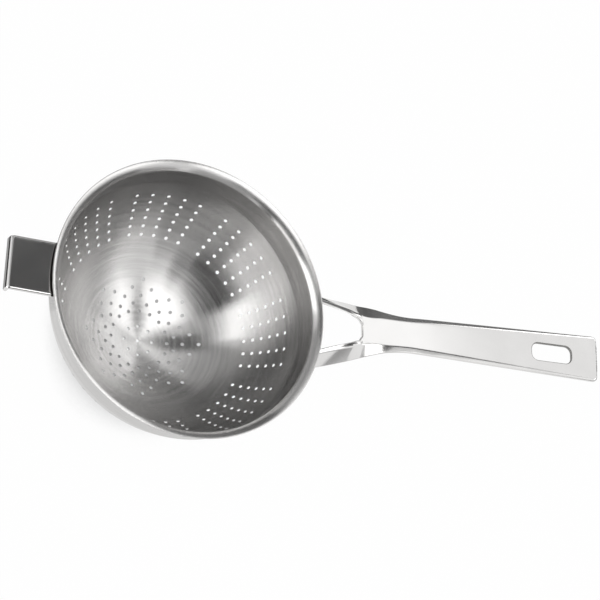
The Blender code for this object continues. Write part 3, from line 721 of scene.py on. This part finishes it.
def makeHook(material):
    across = 12
    bm = bmesh.new()
    lines = [hook["width"] * (k / across - 0.5) for k in range(across + 1)]
    root = []
    upright = hook["plate"] / math.cos(math.radians(hook["droop"]))
    for y in lines:   # the root follows the wall and the lip's underside
        topX = hook["underLip"] - hookSag(y)
        lowX = handle["wall"] + handle["gap"] + hook["weldRoom"] - hookSag(y)
        root.append((Vector((topX, y, hookTop(topX))), Vector((lowX, y, hookTop(lowX) - upright))))
    paintedShadeEnd = []
    for y in lines:   # the strip is painted nearly black this far out from the wall, as shade under the lip
        x = hook["paintedShadeEnd"] - hookSag(y)
        paintedShadeEnd.append((Vector((x, y, hookTop(x))), Vector((x, y, hookTop(x) - hook["plate"]))))
    sections = [[pair[0] for pair in line] + [pair[1] for pair in line][::-1] for line in (root, paintedShadeEnd)]
    for top, low in hookSections():
        section = [Vector((top.x, y, top.z)) for y in lines]
        sections.append(section + [Vector((low.x, y, low.z)) for y in lines[::-1]])
    rings = loftSections(bm, sections)
    count = len(lines)
    sides = [bm.edges.get((low[j], high[j])) for low, high in zip(rings, rings[1:])
             for j in (0, count - 1, count, 2 * count - 1)]
    bmesh.ops.recalc_face_normals(bm, faces=bm.faces)
    roundEdges(bm, sides, hook["sideEdge"], 5)
    lowest = min(v.co.z for v in bm.verts)
    # faces inside that line take the second material: painted shade under the lip
    for face in bm.faces:
        outest = max(v.co.x + hookSag(v.co.y) for v in face.verts)
        face.material_index = int(outest < hook["paintedShadeEnd"] + hook["paintedShadeSlack"])
    ends = [edge for edge in bm.edges if edge.calc_face_angle() > 1
            and all(v.co.z < lowest + hook["endSlack"] for v in edge.verts)]
    roundEdges(bm, ends, hook["endEdge"], 3)
    bm.transform(Matrix.Rotation(math.pi - math.radians(hook["offLine"]), 4, 'Z'))
    piece = finishPiece(bm, "hook_plate", material, "hook_steel", "hook", sharp=60)
    # the second material is the nearly black painted shade under the lip
    piece.data.materials.append(paintedShadeSteel())
    steadyNormals(piece)
    print("hook:", len(piece.data.polygons), "faces")
    return piece


# Welds
weld = {
    "leg": 0.0020, "crown": 0.0005, "ripple": 0.0008, "rippleDepth": 0.00013, "chevron": 0.7,
    "taper": 0.0016, "end": 0.02, "swell": 0.7, "step": 0.0002, "hookMargin": 0.0050,
}


def makeBead(material, node, start, end, seat, height, leg, downward):
    # a fillet of weld ripples on the wall: seat is its corner's radius, leg how far it reaches
    # out and up or down
    bm = bmesh.new()
    length = abs(end - start) * seat
    count = int(length / weld["step"])
    sections = []
    for k in range(count + 1):
        along = length * k / count
        turn = start + (end - start) * k / count
        full = math.sqrt(max(weld["end"], min(1, along / weld["taper"], (length - along) / weld["taper"])))
        points = [polar(seat, turn, height)]
        for j in range(9):
            share = j / 8
            lag = weld["chevron"] * (2 * share - 1) ** 2
            wave = abs(math.sin(math.pi * (along / weld["ripple"] + lag)))
            crown = (weld["crown"] + weld["rippleDepth"] * wave) * math.sin(math.pi * share) * full
            out = leg * full * (1 - share) + crown * weld["swell"]
            drop = leg * full * share + crown * weld["swell"]
            level = height - drop if downward else height + drop
            points.append(polar(wallRadius(level) + out, turn, level))
        sections.append(points)
    loftSections(bm, sections)
    bmesh.ops.recalc_face_normals(bm, faces=bm.faces)
    return finishPiece(bm, node + "_bead", material, "weld_metal", node, sharp=80)


def makeWelds(material):
    footTop = handle["lipTop"] - handle["footBelowLip"]
    footLow = footTop - handle["footHeight"]
    first = footPoint(footLow, handle["footSpread"] + handle["footLean"])[1]
    last = footPoint(footTop, handle["footSpread"])[1] + handle["footLength"] / wallRadius(footTop)
    low = footLow - handle["gap"] / 2
    for node, side in (("handle_weld_left", 1), ("handle_weld_right", -1)):
        makeBead(material, node, side * first, side * last, wallRadius(low), low, weld["leg"], True)
    middle = math.pi - math.radians(hook["offLine"])
    half = math.asin((hook["width"] / 2 - weld["hookMargin"]) / handle["wall"])
    under = hookTop(handle["wall"]) - hook["plate"] / math.cos(math.radians(hook["droop"]))
    makeBead(material, "hook_weld", middle - half, middle + half, wallRadius(under), under,
             hook["weldRoom"] + 2 * handle["gap"], False)
    print("three weld beads")


polished = polishedSteel()
makeBowl(brushedSteel())
makeHandle(polished)
makeHook(polished)
makeWelds(weldSteel())


# Studio
studio = {
    # the camera's shift in pixels of the picture and the picture's size
    "camera": (-1.1104, -1.0549, 2.6319), "cameraTurn": (21.0806, -25.066, -0.6198), "lens": 249.3,
    "shift": (-0.5, 0.5), "picture": 600,
    "floorTone": "#fafafa", "floorRoughness": 0.9, "floorGlow": 0.985, "floorSize": 6,
    "floorDrop": 0.0002,
    "shadowReach": 0.05, "shadowFade": (0.05, 0.5), "shadowTone": 0.16, "shadowSamples": 16,
    "fill": ("#e6e6e6", 0.4),
    # height of the point that boxes and curved cards stand round
    "middle": 0.05,
    # soft boxes: turn round the axis and rise over the floor of their middle, distance, width,
    # height, strength
    "boxes": {
        "leftBox": (196, 14, 1.5, 1.85, 0.5, 2.2), "leftTopBox": (176, 33, 1.5, 0.82, 0.38, 1.7),
        "rightBox": (36, 35, 1.5, 0.8, 0.45, 1.6), "nearTopBox": (284, 79, 1.5, 0.9, 0.95, 1.45),
        "lobeBox": (355, 52, 2.6, 1.5, 0.85, 1.1), "forkBox": (50, 63, 1.55, 0.46, 0.3, 0.32),
    },
    # dark cards that only reflections see: turn from and to, rise from and to, distance, tone
    "cards": {
        "farCard": (60, 96, 0, 45, 1.9, 0.1), "farLeftCard": (96, 150, 8, 54, 1.9, 0.4),
        "farRightCard": (56, 80, -1, 52, 1.8, 0.16), "cameraCard": (188, 274, 24, 70, 1.9, 0.02),
        "leftHighCard": (150, 188, 45, 68, 1.9, 0.3), "nearCard": (200, 240, -1, 20, 1.9, 0.07),
        "nearMidCard": (250, 292, 0, 42, 1.8, 0.45), "rightLowCard": (-36, 41, -1, 26, 1.9, 0.03),
        "nearRightCard": (300, 324, -1, 22, 1.9, 0.35),
    },
    # flat dark cards: their span in x and y, height, tone
    "flatCards": {
        "hookCard": ((-0.55, 0.18), (0.24, 0.50), 1.0, 0.07),
        "stripCard": ((0.34, 0.68), (-0.04, 0.19), 1.3, 0.02),
        "toeCard": ((-0.2, -0.14), (0.0, 0.11), 0.001, 0.42),
        "bendCard": ((-0.9, -0.2), (0.03, 0.6), 0.001, 0.03),
        "edgeCard": ((0.6, 1.05), (-0.42, -0.03), 2.0, 0.5),
        "armCard": ((0.12, 0.19), (0.04, 0.095), 0.001, 0.03),
    },
}


def makeCamera():
    data = bpy.data.cameras.new("photoCamera")
    data.lens = studio["lens"]
    data.sensor_width = 36
    data.clip_end = 20
    data.shift_x, data.shift_y = [shift / studio["picture"] for shift in studio["shift"]]
    camera = bpy.data.objects.new("photoCamera", data)
    camera.location = Vector(studio["camera"]) + Vector((axisX, 0, 0))
    camera.rotation_euler = [math.radians(turn) for turn in studio["cameraTurn"]]
    bpy.context.scene.collection.objects.link(camera)
    bpy.context.scene.camera = camera


def whiteForView(tree, plain, white):   # camera, glossy and transmission rays see the pale studio
    path = addNode(tree, "ShaderNodeLightPath")
    seen = addNode(tree, "ShaderNodeMath", {"operation": "ADD"},
                   {0: path.outputs["Is Camera Ray"], 1: path.outputs["Is Glossy Ray"]})
    through = addNode(tree, "ShaderNodeMath", {"operation": "ADD", "use_clamp": True},
                      {0: seen.outputs[0], 1: path.outputs["Is Transmission Ray"]})
    return addNode(tree, "ShaderNodeMixShader", {}, {0: through.outputs[0], 1: plain, 2: white}).outputs[0]


def makeStage(name, bm, material):
    thing = placeMesh(bm, name, material)
    return thing


def makeFloor():   # white sweep that keeps a soft shadow where the object comes close to it
    material = bpy.data.materials.new("whiteSweep")
    material.use_nodes = True
    tree = material.node_tree
    shader = tree.nodes["Principled BSDF"]
    shader.inputs["Base Color"].default_value = hexColour(studio["floorTone"])
    shader.inputs["Roughness"].default_value = studio["floorRoughness"]
    nearness = addNode(tree, "ShaderNodeAmbientOcclusion",
                       {"samples": studio["shadowSamples"], "Distance": studio["shadowReach"]})
    fadeFrom, fadeTo = studio["shadowFade"]
    tone = addNode(tree, "ShaderNodeMapRange", {"From Min": fadeFrom, "From Max": fadeTo,
                                                "To Min": studio["shadowTone"], "To Max": 1.0},
                   {"Value": nearness.outputs["AO"]})
    glow = addNode(tree, "ShaderNodeEmission", {"Strength": 1.0}, {"Color": tone.outputs[0]})
    lifted = addNode(tree, "ShaderNodeMixShader", {0: studio["floorGlow"]},
                     {1: shader.outputs[0], 2: glow.outputs[0]})
    seen = whiteForView(tree, shader.outputs[0], lifted.outputs[0])
    tree.links.new(seen, tree.nodes["Material Output"].inputs[0])
    bm = bmesh.new()
    bmesh.ops.create_grid(bm, x_segments=1, y_segments=1, size=studio["floorSize"])
    bmesh.ops.translate(bm, verts=bm.verts, vec=(0, 0, -studio["floorDrop"]))
    makeStage("floor", bm, material)


def makeWorld():
    world = bpy.data.worlds.new("studio")
    bpy.context.scene.world = world
    world.use_nodes = True
    tree = world.node_tree
    plain = tree.nodes["Background"]
    plain.inputs["Color"].default_value = hexColour(studio["fill"][0])
    plain.inputs["Strength"].default_value = studio["fill"][1]
    white = addNode(tree, "ShaderNodeBackground", {"Color": (1, 1, 1, 1), "Strength": 1.0})
    seen = whiteForView(tree, plain.outputs[0], white.outputs[0])
    tree.links.new(seen, tree.nodes["World Output"].inputs[0])


def makeBox(name, turn, rise, distance, width, height, strength):   # a soft box that faces the bowl
    data = bpy.data.lights.new(name, 'AREA')
    data.shape = 'RECTANGLE'
    data.size, data.size_y = width, height
    data.energy = strength * math.pi * width * height
    lamp = bpy.data.objects.new(name, data)
    turn, rise = math.radians(turn), math.radians(rise)
    lamp.location = polar(distance * math.cos(rise), turn, distance * math.sin(rise)) \
        + Vector((axisX, 0, studio["middle"]))
    lamp.rotation_euler = (math.pi / 2 - rise, 0, turn + math.pi / 2)
    bpy.context.scene.collection.objects.link(lamp)
    return lamp


def cardMaterial(name, tone):
    material = bpy.data.materials.new(name)
    material.use_nodes = True
    tree = material.node_tree
    card = addNode(tree, "ShaderNodeEmission", {"Color": (1, 1, 1, 1), "Strength": tone})
    tree.links.new(card.outputs[0], tree.nodes["Material Output"].inputs[0])
    return material


def hideCard(card):   # a card only shapes what the steel reflects
    card.visible_camera = card.visible_diffuse = card.visible_shadow = card.visible_transmission = False


def makeCard(name, turnFrom, turnTo, riseFrom, riseTo, distance, tone):
    bm = bmesh.new()
    steps = 6
    start = math.radians(turnFrom)
    rises = [math.radians(riseFrom + (riseTo - riseFrom) * k / steps) for k in range(steps + 1)]
    rim = [polar(distance * math.cos(rise), start, distance * math.sin(rise)) for rise in rises]
    verts = [bm.verts.new(point) for point in rim]
    edges = [bm.edges.new(pair) for pair in zip(verts, verts[1:])]
    bmesh.ops.spin(bm, geom=verts + edges, cent=(0, 0, 0), axis=(0, 0, 1),
                   angle=math.radians(turnTo - turnFrom), steps=12)
    bmesh.ops.translate(bm, verts=bm.verts, vec=(axisX, 0, studio["middle"]))
    hideCard(makeStage(name, bm, cardMaterial(name, tone)))


def makeFlatCard(name, spanX, spanY, height, tone):
    bm = bmesh.new()
    bmesh.ops.create_grid(bm, x_segments=1, y_segments=1, size=0.5)
    bmesh.ops.scale(bm, verts=bm.verts, vec=(spanX[1] - spanX[0], spanY[1] - spanY[0], 1))
    bmesh.ops.translate(bm, verts=bm.verts, vec=(axisX + sum(spanX) / 2, sum(spanY) / 2, height))
    hideCard(makeStage(name, bm, cardMaterial(name, tone)))


makeCamera()
makeFloor()
makeWorld()
for name, values in studio["boxes"].items():
    makeBox(name, *values)
for name, values in studio["cards"].items():
    makeCard(name, *values)
for name, values in studio["flatCards"].items():
    makeFlatCard(name, *values)
print("studio built")
bpy.context.scene.view_settings.view_transform = 'Standard'
